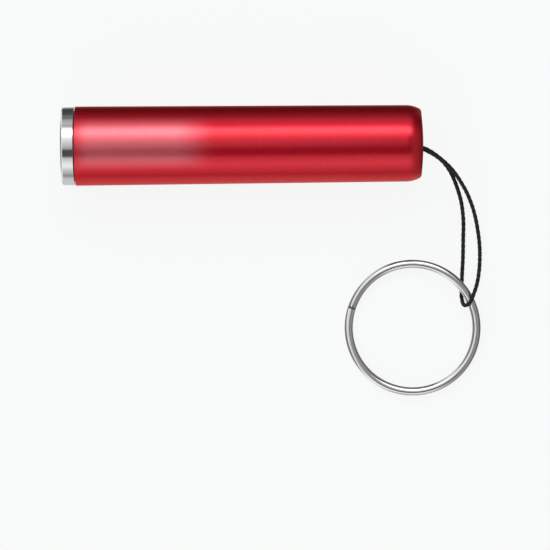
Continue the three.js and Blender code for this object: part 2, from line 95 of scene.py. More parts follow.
class Look:
    """A Principled material with helpers for procedural detail, in object coordinates."""

    def __init__(self, name, color, metallic=0.0, roughness=0.5):
        self.material = bpy.data.materials.new(name)
        self.material.use_nodes = True
        tree = self.material.node_tree
        self.nodes = tree.nodes
        self.links = tree.links
        self.shader = self.nodes["Principled BSDF"]
        self.color = color
        self.set("Base Color", (*color, 1.0))
        self.set("Metallic", metallic)
        self.set("Roughness", roughness)
        self.place = self.nodes.new("ShaderNodeTexCoord").outputs["Object"]
        self.height = None

    def set(self, socket, value):
        self.shader.inputs[socket].default_value = value

    def link(self, output, socket):
        self.links.new(output, socket)

    def noise(self, size, detail=2.0, stretch=(1.0, 1.0, 1.0), distortion=0.0):
        """Noise whose features are about size metres across, longer where stretch is large."""
        mapping = self.nodes.new("ShaderNodeMapping")
        mapping.inputs["Scale"].default_value = [1.0 / (size * s) for s in stretch]
        self.link(self.place, mapping.inputs["Vector"])
        noise = self.nodes.new("ShaderNodeTexNoise")
        noise.inputs["Scale"].default_value = 1.0
        noise.inputs["Detail"].default_value = detail
        noise.inputs["Distortion"].default_value = distortion
        self.link(mapping.outputs["Vector"], noise.inputs["Vector"])
        return noise.outputs["Fac"]

    def grain(self, size):
        """Small round cells, as of bead blasting or moulded texture."""
        cells = self.nodes.new("ShaderNodeTexVoronoi")
        cells.inputs["Scale"].default_value = 1.0 / size
        self.link(self.place, cells.inputs["Vector"])
        return cells.outputs["Distance"]

    def bands(self, size, axis="X", distortion=0.0):
        """Fine lines across an axis, as a lathe tool leaves them."""
        wave = self.nodes.new("ShaderNodeTexWave")
        wave.bands_direction = axis
        wave.inputs["Scale"].default_value = 0.314 / size
        wave.inputs["Distortion"].default_value = distortion
        wave.inputs["Detail"].default_value = 2.0
        self.link(self.place, wave.inputs["Vector"])
        return wave.outputs["Fac"]

    def remap(self, source, low, high, start=0.0, end=1.0):
        """Low where the source is at start, high where it is at end."""
        remap = self.nodes.new("ShaderNodeMapRange")
        remap.inputs["From Min"].default_value = start
        remap.inputs["From Max"].default_value = end
        remap.inputs["To Min"].default_value = low
        remap.inputs["To Max"].default_value = high
        self.link(source, remap.inputs["Value"])
        return remap.outputs["Result"]

    def tint(self, source, dark, light, start=0.3, end=0.7):
        """Base colour that varies between two shades."""
        ramp = self.nodes.new("ShaderNodeValToRGB")
        ramp.color_ramp.elements[0].position = start
        ramp.color_ramp.elements[0].color = (*dark, 1.0)
        ramp.color_ramp.elements[1].position = end
        ramp.color_ramp.elements[1].color = (*light, 1.0)
        self.link(source, ramp.inputs["Fac"])
        self.link(ramp.outputs["Color"], self.shader.inputs["Base Color"])

    def shades(self, source, spread, start=0.3, end=0.7):
        """Base colour that varies by a share of itself either way."""
        dark = tuple(c * (1 - spread) for c in self.color)
        light = tuple(min(1.0, c * (1 + spread)) for c in self.color)
        self.tint(source, dark, light, start, end)

    def roughen(self, source, low, high):
        self.link(self.remap(source, low, high, 0.3, 0.7), self.shader.inputs["Roughness"])

    def bump(self, source, depth, strength=1.0):
        """Adds relief of depth metres on top of the relief so far."""
        bump = self.nodes.new("ShaderNodeBump")
        bump.inputs["Distance"].default_value = depth
        bump.inputs["Strength"].default_value = strength
        self.link(source, bump.inputs["Height"])
        if self.height is not None:
            self.link(self.height, bump.inputs["Normal"])
        self.height = bump.outputs["Normal"]
        self.link(self.height, self.shader.inputs["Normal"])

    def paint_highlight(self, area, color):
        """Blends the base colour towards a pale colour over an area, as a painted highlight.
        The area gives, for each axis used, where the painted highlight starts, is full, is full
        still and ends, and its density."""
        split = self.nodes.new("ShaderNodeSeparateXYZ")
        self.link(self.place, split.inputs["Vector"])
        density = None
        for axis, (start, full, still, end) in area["range"].items():
            for low, high in ((start, full), (end, still)):
                edge = self.nodes.new("ShaderNodeMapRange")
                edge.interpolation_type = "SMOOTHSTEP"
                edge.inputs["From Min"].default_value = low
                edge.inputs["From Max"].default_value = high
                self.link(split.outputs[axis], edge.inputs["Value"])
                edge = edge.outputs["Result"]
                density = edge if density is None else self.times(density, edge)
        mix = self.nodes.new("ShaderNodeMixRGB")
        mix.inputs["Color2"].default_value = (*color, 1.0)
        self.link(self.times(density, area["density"]), mix.inputs["Fac"])
        bare = self.shader.inputs["Base Color"].links[0].from_socket
        self.link(bare, mix.inputs["Color1"])
        self.link(mix.outputs["Color"], self.shader.inputs["Base Color"])

    def times(self, first, second):
        product = self.nodes.new("ShaderNodeMath")
        product.operation = "MULTIPLY"
        self.link(first, product.inputs[0])
        if isinstance(second, float):
            product.inputs[1].default_value = second
        else:
            self.link(second, product.inputs[1])
        return product.outputs["Value"]


# A painted pale highlight on the barrel's upper side near the head, where the print would sit.
PAINTED_HIGHLIGHT_AREA = {
    "range": {
        "X": (-32.0 * MM, -28.0 * MM, -13.0 * MM, -4.5 * MM),
        "Y": (-5.0 * MM, -2.2 * MM, 3.0 * MM, 5.4 * MM),
        "Z": (AXIS_Z + 1.5 * MM, AXIS_Z + 3.5 * MM, 30 * MM, 40 * MM),
    },
    "density": 0.50,
}


def anodised_red():
    look = Look("anodised_red", (0.85, 0.005, 0.028), metallic=1.0, roughness=0.4)
    look.set("Specular Tint", (1.0, 0.06, 0.10, 1.0))
    look.set("Coat Weight", 0.38)
    look.set("Coat Roughness", 0.18)
    look.set("Coat IOR", 1.9)
    look.shades(look.noise(0.4 * MM, detail=5.0), 0.07)
    look.roughen(look.noise(0.3 * MM, detail=4.0), 0.32, 0.46)
    look.bump(look.noise(0.07 * MM, detail=2.0), 0.0035 * MM)
    look.bump(look.noise(0.28 * MM, detail=2.0), 0.0045 * MM)
    look.bump(look.bands(0.06 * MM, distortion=1.5), 0.0006 * MM)
    look.bump(look.noise(0.9 * MM, detail=3.0), 0.0012 * MM)
    # Painted highlight: the base colour turns pale pink on the upper side near the head.
    look.paint_highlight(PAINTED_HIGHLIGHT_AREA, (1.0, 0.32, 0.38))
    return look.material


def bare_bore():
    look = Look("machined_bore", (0.62, 0.62, 0.63), metallic=1.0, roughness=0.3)
    look.roughen(look.noise(0.4 * MM), 0.22, 0.38)
    look.bump(look.bands(0.09 * MM, distortion=0.5), 0.002 * MM)
    return look.material


def chrome():
    look = Look("chrome", (0.86, 0.865, 0.87), metallic=1.0, roughness=0.09)
    look.roughen(look.noise(1.2 * MM, detail=3.0), 0.07, 0.13)
    look.bump(look.bands(0.05 * MM, distortion=0.4), 0.0003 * MM)
    look.bump(look.noise(0.35 * MM), 0.0006 * MM)
    return look.material


# Near-black finish for the neck in the gap behind the band: painted shade in that gap.
def painted_shade_neck():
    look = Look("painted_shade_neck", (0.035, 0.034, 0.034), metallic=0.6, roughness=0.5)
    look.roughen(look.noise(0.3 * MM, detail=3.0), 0.42, 0.6)
    look.shades(look.noise(0.5 * MM), 0.2)
    look.bump(look.bands(0.08 * MM, distortion=0.5), 0.002 * MM)
    return look.material


def cut_steel():
    look = Look("cut_steel", (0.16, 0.16, 0.165), metallic=0.9, roughness=0.5)
    look.roughen(look.noise(0.1 * MM), 0.4, 0.62)
    look.bump(look.noise(0.05 * MM, detail=4.0), 0.008 * MM)
    return look.material


def ring_steel():
    look = Look("ring_steel", (0.84, 0.84, 0.85), metallic=1.0, roughness=0.12)
    look.roughen(look.noise(0.5 * MM, detail=3.0), 0.09, 0.17)
    look.shades(look.noise(1.5 * MM), 0.04)
    look.bump(look.noise(0.10 * MM, detail=3.0), 0.0010 * MM)
    return look.material


def plated_steel(name="plated_steel"):
    look = Look(name, (0.70, 0.70, 0.69), metallic=1.0, roughness=0.28)
    look.roughen(look.noise(0.4 * MM, detail=3.0), 0.2, 0.36)
    look.shades(look.noise(1.4 * MM, detail=4.0), 0.07)
    look.bump(look.noise(0.08 * MM), 0.002 * MM)
    return look.material


def gold_contact():
    look = Look("gold_contact", (0.80, 0.55, 0.22), metallic=1.0, roughness=0.25)
    look.roughen(look.noise(0.3 * MM, detail=3.0), 0.18, 0.36)
    look.shades(look.noise(1.1 * MM, detail=3.0), 0.10)
    look.bump(look.noise(0.06 * MM), 0.002 * MM)
    return look.material


def reflector_metal():
    look = Look("reflector_metal", (0.90, 0.91, 0.92), metallic=1.0, roughness=0.05)
    look.roughen(look.noise(0.6 * MM), 0.04, 0.09)
    look.bump(look.grain(0.35 * MM), 0.012 * MM)
    return look.material


def clear_lens(name="clear_lens"):
    look = Look(name, (0.96, 0.985, 0.99), roughness=0.02)
    look.set("Transmission Weight", 1.0)
    look.set("IOR", 1.49)
    look.roughen(look.noise(0.8 * MM, detail=3.0), 0.01, 0.05)
    look.bump(look.noise(0.5 * MM), 0.0006 * MM)
    return look.material


def rubber(name="seal_rubber", color=(0.018, 0.018, 0.019)):
    look = Look(name, color, roughness=0.6)
    look.roughen(look.noise(0.2 * MM, detail=3.0), 0.5, 0.72)
    look.shades(look.noise(0.6 * MM), 0.2)
    look.bump(look.noise(0.06 * MM, detail=3.0), 0.006 * MM)
    return look.material


def moulded(name, color, roughness=0.5):
    look = Look(name, color, roughness=roughness)
    look.roughen(look.noise(0.3 * MM, detail=3.0), roughness - 0.08, roughness + 0.1)
    look.shades(look.noise(0.8 * MM), 0.07)
    look.bump(look.grain(0.09 * MM), 0.004 * MM)
    return look.material


def phosphor():
    look = Look("led_phosphor", (0.85, 0.66, 0.10), roughness=0.35)
    look.set("Subsurface Weight", 0.3)
    look.set("Subsurface Radius", (0.2 * MM, 0.15 * MM, 0.05 * MM))
    look.shades(look.noise(0.12 * MM, detail=3.0), 0.12)
    look.bump(look.noise(0.05 * MM), 0.003 * MM)
    return look.material


def card_sleeve():
    look = Look("card_sleeve", (0.80, 0.77, 0.68), roughness=0.75)
    look.shades(look.noise(0.25 * MM, detail=6.0, stretch=(4.0, 1.0, 1.0)), 0.08)
    look.bump(look.noise(0.1 * MM, detail=5.0, stretch=(3.0, 1.0, 1.0)), 0.01 * MM)
    return look.material


def cell_film():
    look = Look("cell_film", (0.035, 0.11, 0.26), roughness=0.3)
    look.set("Coat Weight", 0.5)
    look.set("Coat Roughness", 0.15)
    look.shades(look.noise(2.0 * MM, detail=3.0), 0.08)
    look.bump(look.noise(0.6 * MM, detail=3.0), 0.004 * MM)
    return look.material


def foam():
    look = Look("foam", (0.03, 0.03, 0.032), roughness=0.95)
    look.shades(look.grain(0.18 * MM), 0.45, 0.1, 0.5)
    look.bump(look.grain(0.18 * MM), 0.08 * MM)
    return look.material


def pressed_mix():
    look = Look("pressed_mix", (0.03, 0.028, 0.026), roughness=0.85)
    look.shades(look.noise(0.1 * MM, detail=6.0), 0.3)
    look.bump(look.noise(0.08 * MM, detail=6.0), 0.02 * MM)
    return look.material


def cord_yarn():
    look = Look("cord_yarn", (0.015, 0.012, 0.0105), roughness=0.75)
    look.set("Sheen Weight", 0.14)
    look.set("Sheen Roughness", 0.4)
    look.set("Sheen Tint", (0.75, 0.7, 0.68, 1.0))
    look.shades(look.noise(0.22 * MM, detail=4.0), 0.35)
    look.roughen(look.noise(0.08 * MM, detail=3.0), 0.55, 0.85)
    look.bump(look.noise(0.03 * MM, detail=4.0), 0.010 * MM)
    return look.material


# ---------------------------------------------------------------- mesh helpers


def add_piece(name, vertices, faces, material, sharp_angle=35.0):
    """A smooth-shaded mesh object, in metres, with hard edges past sharp_angle."""
    mesh = bpy.data.meshes.new(name)
    mesh.from_pydata([tuple(v) for v in vertices], [], [tuple(f) for f in faces])
    mesh.validate()
    mesh.polygons.foreach_set("use_smooth", [True] * len(mesh.polygons))
    mesh.set_sharp_from_angle(angle=math.radians(sharp_angle))
    mesh.materials.append(material)
    piece = bpy.data.objects.new(name, mesh)
    bpy.context.scene.collection.objects.link(piece)
    return piece


def rounded(points, steps=4):
    """A profile with rounded corners. Points are (x, radius[, size of the rounding])."""
    smooth = []
    for i, point in enumerate(points):
        size = point[2] if len(point) > 2 else 0.0
        here = np.array(point[:2], float)
        if size == 0.0 or i in (0, len(points) - 1):
            smooth.append(tuple(here))
            continue
        before = np.array(points[i - 1][:2], float) - here
        after = np.array(points[i + 1][:2], float) - here
        start = here + before / np.linalg.norm(before) * size
        end = here + after / np.linalg.norm(after) * size
        for k in range(steps + 1):
            t = k / steps
            at = (1 - t) ** 2 * start + 2 * t * (1 - t) * here + t**2 * end
            smooth.append(tuple(at))
    return smooth


def axis_point(x, radius, angle):
    """A point of the turned pieces. The angle is zero straight up and grows towards -Y."""
    return (x, -radius * np.sin(angle), AXIS_Z + radius * np.cos(angle))


def turned(name, profile, material, segments=128, relief=None, y=0.0, z=0.0):
    """Turns (x, radius) points about the barrel's axis. A profile that starts or ends on
    the axis is capped there, and any other closes on itself. relief(x, radius, angles)
    may give each point of a row a radius of its own. y and z shift the piece sideways."""
    angles = np.arange(segments) / segments * 2 * math.pi
    rows, vertices = [], []
    for x, radius in profile:
        if radius <= 0.0:
            rows.append([len(vertices)] * segments)
            vertices.append((x, y, AXIS_Z + z))
            continue
        radii = np.full(segments, radius) if relief is None else relief(x, radius, angles)
        rows.append(list(range(len(vertices), len(vertices) + segments)))
        for angle, r in zip(angles, radii):
            point = axis_point(x, r, angle)
            vertices.append((point[0], point[1] + y, point[2] + z))
    closed = profile[0][1] > 0.0 and profile[-1][1] > 0.0
    pairs = list(zip(rows, rows[1:] + rows[:1])) if closed else list(zip(rows, rows[1:]))
    faces = []
    for low, high in pairs:
        for k in range(segments):
            n = (k + 1) % segments
            corners = [low[k], low[n], high[n], high[k]]
            unique = list(dict.fromkeys(corners))
            if len(unique) > 2:
                faces.append(unique)
    return outward(add_piece(name, vertices, faces, material))


def outward(piece):
    """Turns every face of a closed mesh outwards."""
    mesh = piece.data
    corners = np.array([v.co for v in mesh.vertices], float)
    volume = 0.0
    mesh.calc_loop_triangles()
    for triangle in mesh.loop_triangles:
        a, b, c = corners[list(triangle.vertices)]
        volume += float(np.dot(a - corners[0], np.cross(b - corners[0], c - corners[0])))
    if volume < 0:
        mesh.flip_normals()
    return piece


def finish_piece(piece, body, slot, *nodes):
    """Puts a piece on its body, in place of the CAD nodes it stands for."""
    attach(piece, body)
    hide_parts(*nodes)
    return piece


def tube(name, line, section, material, sharp_angle=60.0):
    """Sweeps a closed section, a list of (u, v), along a line of points."""
    sides, ups = frames_along(line)
    vertices = []
    for centre, side, up in zip(line, sides, ups):
        for u, v in section:
            vertices.append(centre + side * u + up * v)
    faces = sweep_faces(len(line), len(section))
    return outward(add_piece(name, vertices, faces, material, sharp_angle))


def sweep_faces(rows, count):
    """Quads between rows of count points each, and a cap at either end."""
    faces = []
    for start in range(0, (rows - 1) * count, count):
        for k in range(count):
            n = (k + 1) % count
            faces.append((start + k, start + n, start + count + n, start + count + k))
    faces.append(tuple(range(count - 1, -1, -1)))
    last = (rows - 1) * count
    faces.append(tuple(range(last, last + count)))
    return faces


def ellipse(half_width, half_height, count):
    """An elliptical section of count points."""
    points = []
    for k in range(count):
        angle = k / count * 2 * math.pi
        points.append((math.cos(angle) * half_width, math.sin(angle) * half_height))
    return points


# ---------------------------------------------------------------- cord

# The cord's route, as in the CAD: out of the tail, over the ring, round its wire from the
# inside, back under it and into the tail again.
CORD_ROUTE = [
    (0.03203, -0.00055, 0.00775),
    (0.03352, -0.00090, 0.00775),
    (0.03471, -0.00146, 0.00760),
    (0.03609, -0.00239, 0.00730),
    (0.03745, -0.00352, 0.00695),
    (0.03861, -0.00463, 0.00655),
    (0.03966, -0.00593, 0.00605),
    (0.04064, -0.00741, 0.00540),
    (0.04174, -0.00935, 0.00445),
    (0.04301, -0.01257, 0.00275),
    (0.04378, -0.01598, 0.00140),
    (0.04418, -0.01966, 0.00080),
    (0.04401, -0.02351, 0.00155),
    (0.04345, -0.02635, 0.00295),
    (0.04279, -0.02820, 0.00352),
    (0.04233, -0.02932, 0.00352),
    (0.04182, -0.02998, 0.00328),
    (0.04127, -0.03020, 0.00255),
    (0.04095, -0.02993, 0.00160),
    (0.04079, -0.02922, 0.00082),
    (0.04069, -0.02830, 0.00042),
    (0.04074, -0.02730, 0.00037),
    (0.04079, -0.02600, 0.00037),
    (0.04086, -0.02430, 0.00040),
    (0.04104, -0.02123, 0.00042),
    (0.04112, -0.01761, 0.00055),
    (0.04114, -0.01429, 0.00125),
    (0.04069, -0.01089, 0.00275),
    (0.04005, -0.00867, 0.00370),
    (0.03951, -0.00719, 0.00435),
    (0.03901, -0.00608, 0.00485),
    (0.03842, -0.00497, 0.00535),
    (0.03776, -0.00405, 0.00575),
    (0.03689, -0.00312, 0.00615),
    (0.03579, -0.00229, 0.00650),
    (0.03463, -0.00163, 0.00678),
    (0.03355, -0.00111, 0.00685),
    (0.03203, -0.00072, 0.00685),
]


def smooth_line(points, step):
    """A centripetal Catmull-Rom curve through the points, sampled every step metres."""
    points = [np.array(p, float) for p in points]
    points = [2 * points[0] - points[1], *points, 2 * points[-1] - points[-2]]
    dense = []
    for p0, p1, p2, p3 in zip(points, points[1:], points[2:], points[3:]):
        t1 = np.linalg.norm(p1 - p0) ** 0.5
        t2 = t1 + np.linalg.norm(p2 - p1) ** 0.5
        t3 = t2 + np.linalg.norm(p3 - p2) ** 0.5
        for t in np.linspace(t1, t2, 40, endpoint=False):
            a1 = (t1 - t) / t1 * p0 + t / t1 * p1
            a2 = (t2 - t) / (t2 - t1) * p1 + (t - t1) / (t2 - t1) * p2
            a3 = (t3 - t) / (t3 - t2) * p2 + (t - t2) / (t3 - t2) * p3
            b1 = (t2 - t) / t2 * a1 + t / t2 * a2
            b2 = (t3 - t) / (t3 - t1) * a2 + (t - t1) / (t3 - t1) * a3
            dense.append((t2 - t) / (t2 - t1) * b1 + (t - t1) / (t2 - t1) * b2)
    dense.append(points[-2])
    dense = np.array(dense)
    along = np.concatenate([[0], np.cumsum(np.linalg.norm(np.diff(dense, axis=0), axis=1))])
    stops = np.linspace(0, along[-1], int(along[-1] / step) + 1)
    return np.stack([np.interp(stops, along, dense[:, k]) for k in range(3)], axis=1)


def frames_along(line):
    """Side and up directions that turn as little as they can along a line."""
    tangents = np.gradient(line, axis=0)
    tangents /= np.linalg.norm(tangents, axis=1)[:, None]
    side = np.cross(tangents[0], (0.0, 0.0, 1.0))
    if np.linalg.norm(side) < 0.1:
        side = np.cross(tangents[0], (0.0, 1.0, 0.0))
    sides, ups = [], []
    for tangent in tangents:
        side = side - tangent * np.dot(side, tangent)
        side /= np.linalg.norm(side)
        sides.append(side)
        ups.append(np.cross(side, tangent))
    return np.array(sides), np.array(ups)


BRAID_PITCH = 2.1 * MM
BRAID_STEP = 0.085 * MM
YARNS_EACH_WAY = 4
YARN_RADIUS = 0.115 * MM
BRAID_RADIUS = 0.265 * MM
BRAID_WEAVE = 0.026 * MM


def braid(name, line, material):
    """A round braid: yarns run both ways round a core, over one and under one."""
    sides, ups = frames_along(line)
    along = np.arange(len(line)) * BRAID_STEP
    yarn_section = ellipse(YARN_RADIUS, YARN_RADIUS, 6)
    core_section = ellipse(BRAID_RADIUS, BRAID_RADIUS, 8)
    tubes = []
    for hand in (1, -1):
        for k in range(YARNS_EACH_WAY):
            start = 2 * math.pi * (k + (0.5 if hand < 0 else 0.0)) / YARNS_EACH_WAY
            turn = start + hand * 2 * math.pi * along / BRAID_PITCH
            over = np.cos(YARNS_EACH_WAY * 2 * math.pi * along / BRAID_PITCH + math.pi * k)
            radius = BRAID_RADIUS + hand * BRAID_WEAVE * over
            out = sides * np.cos(turn)[:, None] + ups * np.sin(turn)[:, None]
            tubes.append(tube("yarn", line + out * radius[:, None], yarn_section, material))
    tubes.append(tube("core", line, core_section, material))
    return join(name, tubes)


def join(name, pieces):
    """One mesh object from several."""
    vertices, faces = [], []
    for piece in pieces:
        base = len(vertices)
        vertices.extend(tuple(v.co) for v in piece.data.vertices)
        faces.extend([tuple(base + i for i in p.vertices) for p in piece.data.polygons])
    material = pieces[0].data.materials[0]
    for piece in pieces:
        bpy.data.objects.remove(piece)
    return add_piece(name, vertices, faces, material, sharp_angle=80.0)


def knot_line():
    """The trefoil that the CAD's knot follows, inside the tail."""
    low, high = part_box("cord_knot")
    centre = (low + high) / 2
    ring_radius = 1.1 * MM
    turns = np.linspace(0, 4 * math.pi, 400)
    reach = ring_radius * (2 + np.cos(1.5 * turns)) * 0.5
    depth = ring_radius * np.sin(1.5 * turns) * 0.5
    across = reach * np.cos(turns)
    upward = reach * np.sin(turns)
    return np.stack([centre.x + depth, -across, AXIS_Z + upward], axis=1)


# ---------------------------------------------------------------- split ring

RING_LOW, RING_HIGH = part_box("split_ring")
RING_WIRE_WIDTH = 1.53 * MM
RING_WIRE_HEIGHT = 0.9 * MM
RING_COIL_PITCH = RING_WIRE_HEIGHT + 0.1 * MM
RING_FLAT = 0.22 * MM                 # how flat a coil is on the side that faces the other
RING_TURNS = 1.94
RING_END_ANGLE = 3.21                 # where the wire's first end is, in radians
RING_END_SIZE = 0.65                  # the end faces' size as a share of the wire's
RING_END_EASE = 0.25 * MM             # over how much of the wire an end eases in
RING_JOG = 0.12                       # share of the wire that changes level
RING_TILT = 0.0395                    # the cord lifts the ring at this angle, in radians
RING_LIFT_ANGLE = 0.593               # and from this direction
RING_RADIUS = (RING_HIGH.x - RING_LOW.x) / 2 - RING_WIRE_WIDTH / 2


def smoothstep(t, low, high):
    t = np.clip((t - low) / (high - low), 0.0, 1.0)
    return t * t * (3 - 2 * t)


def ring_piece(material):
    """Two coils of spring wire that change level halfway, with eased and darker ends."""
    steps = 400
    share = np.linspace(0, 1, steps)
    angle = RING_END_ANGLE + share * RING_TURNS * 2 * math.pi
    level = smoothstep(share, 0.5 - RING_JOG / 2, 0.5 + RING_JOG / 2)
    height = (level - 0.5) * RING_COIL_PITCH
    section = ellipse(1.0, RING_WIRE_WIDTH / 2, 32)
    end = RING_END_EASE / (RING_RADIUS * RING_TURNS * 2 * math.pi)
    lift = np.array([math.cos(RING_LIFT_ANGLE), math.sin(RING_LIFT_ANGLE), 0.0])
    axis = Vector((lift[1], -lift[0], 0.0))
    tilt = np.array(Matrix.Rotation(RING_TILT, 3, axis))
    centre = np.array((RING_LOW + RING_HIGH) / 2)
    vertices = []
    count = len(section)
    for i in range(steps):
        near_end = min(share[i], 1 - share[i]) / end
        size = RING_END_SIZE + (1 - RING_END_SIZE) * math.sqrt(1 - max(0.0, 1 - near_end) ** 2)
        outward_way = np.array([math.cos(angle[i]), math.sin(angle[i]), 0.0])
        above = RING_FLAT + (RING_WIRE_HEIGHT - 2 * RING_FLAT) * level[i]
        below = RING_WIRE_HEIGHT - above
        widest = below - RING_WIRE_HEIGHT / 2
        for up, out in section:
            point = outward_way * (RING_RADIUS + out * size)
            point[2] = height[i] + (widest + up * (above if up > 0 else below)) * size
            vertices.append(tilt @ point + centre)
    faces = sweep_faces(steps, count)
    piece = outward(add_piece("split_ring_wire", vertices, faces, material, 70.0))
    piece.data.materials.append(cut_steel())
    for face in piece.data.polygons:
        rows = [v // count for v in face.vertices]
        if max(rows) < 2 or min(rows) > steps - 3:
            face.material_index = 1
    return piece


# ---------------------------------------------------------------- cord and ring pieces


def add_cord_and_ring():
    yarn = cord_yarn()
    ring = ring_piece(ring_steel())
    finish_piece(ring, "ring", "ring_steel", "split_ring")

    route = smooth_line(CORD_ROUTE, BRAID_STEP)
    cord = braid("cord_braid", route, yarn)
    finish_piece(cord, "cord", "braided_cord", "cord_loop")
    knot_section = ellipse(CORD_DIAMETER / 2, CORD_DIAMETER / 2, 12)
    knot = tube("knot", knot_line(), knot_section, yarn)
    finish_piece(knot, "cord", "braided_cord", "cord_knot")


add_cord_and_ring()

# ---------------------------------------------------------------- threads

THREAD_START = THREAD_X + 0.2 * MM
THREAD_DEPTH = 0.38 * MM
THREAD_FADE = 0.35 * MM               # how soon the ridge reaches its full height
BARREL_RIDGE = (0.47 * MM, 0.25 * MM)  # half the ridge's width at root and crest
SHELL_RIDGE = (0.36 * MM, 0.13 * MM)
BARREL_THREAD_RADIUS = 6.03 * MM      # the barrel thread's crests
SHELL_THREAD_RADIUS = 5.9 * MM        # the head thread's roots
THREAD_ROW = 0.06 * MM                # spacing of the rows that draw the thread


def ridge(x, angles, root_half, crest_half, start, end):
    """How high the thread's ridge stands at x, from 0 to 1, at each angle."""
    centre = THREAD_START + (angles - HALF_FACET) / (2 * math.pi) * PITCH
    off = np.abs((x - centre + PITCH / 2) % PITCH - PITCH / 2)
    height = np.clip((root_half - off) / (root_half - crest_half), 0.0, 1.0)
    ends = np.clip((x - start) / THREAD_FADE, 0, 1) * np.clip((end - x) / THREAD_FADE, 0, 1)
    return height * ends


def even_rows(x0, x1, radius, spacing):
    """Points of one radius, close enough together to carry the thread."""
    count = max(2, int(round(abs(x1 - x0) / spacing)))
    return [(x0 + (x1 - x0) * i / count, radius) for i in range(count + 1)]


# ---------------------------------------------------------------- barrel

TAIL_ARC_X = TAIL_X - 3.2 * MM        # where the tail starts to round
TAIL_ARC_RADIUS = 5.1 * MM
TAIL_ARC_LENGTH = 2.6 * MM
TAIL_CORNER = (TAIL_X - 0.37 * MM, 6.14 * MM, 0.16 * MM)
TAIL_DOME_RADIUS = 49 * MM
TAIL_WALL_X = TAIL_X - 1.6 * MM
TAPER = 7.1 / 7.35                    # the tail's radius over the front's
BORE_RADIUS = 5.9 * MM
SEAL_BORE_RADIUS = 6.68 * MM
INSIDE_REACH = 6.6 * MM               # faces nearer the axis than this are the bore's
CORD_HOLE_RADIUS = 1.7 * MM * FACET


def barrel_profile():
    tail_radius = BARREL_RADIUS * TAPER
    arc = []
    for i in range(13):
        along = i / 12 * TAIL_ARC_LENGTH
        drop = TAIL_ARC_RADIUS - math.sqrt(TAIL_ARC_RADIUS**2 - along**2)
        arc.append((TAIL_ARC_X + along, tail_radius - drop))
    face = []
    for radius in (5.3 * MM, 4.4 * MM, 3.3 * MM, 2.4 * MM):
        face.append((TAIL_X - radius**2 / (2 * TAIL_DOME_RADIUS), radius))
    corner = rounded([arc[-1], TAIL_CORNER, face[0]], 6)[1:-1]
    hole = rounded(
        [
            face[-1],
            (TAIL_X - 0.02 * MM, CORD_HOLE_RADIUS, 0.3 * MM),
            (TAIL_WALL_X, CORD_HOLE_RADIUS, 0.2 * MM),
            (TAIL_WALL_X, BORE_RADIUS, 0.3 * MM),
            (TAIL_WALL_X - 4 * MM, BORE_RADIUS),
        ],
        5,
    )[1:-1]
    thread_end = THREAD_X + 4.9 * MM
    minor = BARREL_THREAD_RADIUS
    mouth = rounded(
        [
            (thread_end, minor),
            (THREAD_X, minor, 0.15 * MM),
            (THREAD_X, SEAL_BORE_RADIUS, 0.1 * MM),
            (BARREL_X, SEAL_BORE_RADIUS, 0.08 * MM),
            (BARREL_X, BARREL_RADIUS, 0.05 * MM),
            (BARREL_X + 2 * MM, BARREL_RADIUS),
        ],
        4,
    )[1:-1]
    thread = even_rows(thread_end, THREAD_START, minor, THREAD_ROW)
    bore = [(thread_end + 0.3 * MM, BORE_RADIUS)]
    return [*mouth, *arc, *corner, *face, *hole, *bore, *thread]


def barrel_relief(x, radius, angles):
    """Adds the thread's ridge to the rows at the thread's radius."""
    radii = np.full(len(angles), radius)
    if abs(radius - BARREL_THREAD_RADIUS) < 0.01 * MM:
        start, end = THREAD_X - 1.0 * MM, THREAD_X + 4.9 * MM
        radii += THREAD_DEPTH * ridge(x, angles, *BARREL_RIDGE, start, end)
    return radii


def add_barrel():
    outside = anodised_red()
    inside = bare_bore()
    piece = turned("barrel_body", barrel_profile(), outside, 192, barrel_relief)
    piece.data.materials.append(inside)
    bore_start = BARREL_X + 0.1 * MM
    bore_end = TAIL_WALL_X + 0.2 * MM
    for face in piece.data.polygons:
        centre = face.center
        reach = math.hypot(centre.y, centre.z - AXIS_Z)
        if bore_start < centre.x < bore_end and reach < INSIDE_REACH:
            face.material_index = 1
    piece.visible_glossy = False
    finish_piece(piece, "barrel", "anodised_barrel", "barrel")


# ---------------------------------------------------------------- head

BAND_LENGTH = 2.35 * MM
NECK_REACH = (5.6 * MM, 6.6 * MM)     # the bare neck's faces lie this far from the axis


def shell_profile():
    band_end = HEAD_X + BAND_LENGTH
    groove = band_end + 0.4 * MM
    groove_radius = 5.7 * MM
    land = 6.55 * MM
    land_end = THREAD_X - 0.25 * MM
    thread_end = THREAD_X + 4.6 * MM
    minor = SHELL_THREAD_RADIUS
    skirt = 5.72 * MM
    bore = 5.25 * MM
    lip = 4.75 * MM
    lip_back = HEAD_X + 1.2 * MM
    back = SHELL_HIGH.x
    outer = rounded(
        [
            (HEAD_X + 0.8 * MM, lip),
            (HEAD_X, 6.15 * MM, 0.12 * MM),
            (HEAD_X, BAND_RADIUS, 0.5 * MM),
            (band_end, BAND_RADIUS, 0.05 * MM),
            (band_end, land, 0.06 * MM),
            (groove, land, 0.06 * MM),
            (groove, groove_radius, 0.15 * MM),
            (groove + 1.0 * MM, groove_radius, 0.15 * MM),
            (groove + 1.0 * MM, land, 0.06 * MM),
            (land_end, land, 0.08 * MM),
            (land_end, minor, 0.05 * MM),
            (land_end + 0.1 * MM, minor),
        ],
        6,
    )
    thread = even_rows(land_end + 0.12 * MM, thread_end, minor, THREAD_ROW)
    rear = rounded(
        [
            (thread_end, minor),
            (thread_end + 0.15 * MM, skirt, 0.05 * MM),
            (back, skirt, 0.15 * MM),
            (back, bore, 0.1 * MM),
            (lip_back, bore, 0.05 * MM),
            (lip_back, lip, 0.05 * MM),
            (HEAD_X + 0.8 * MM, lip),
        ],
        4,
    )[1:-1]
    return [*outer, *thread, *rear]


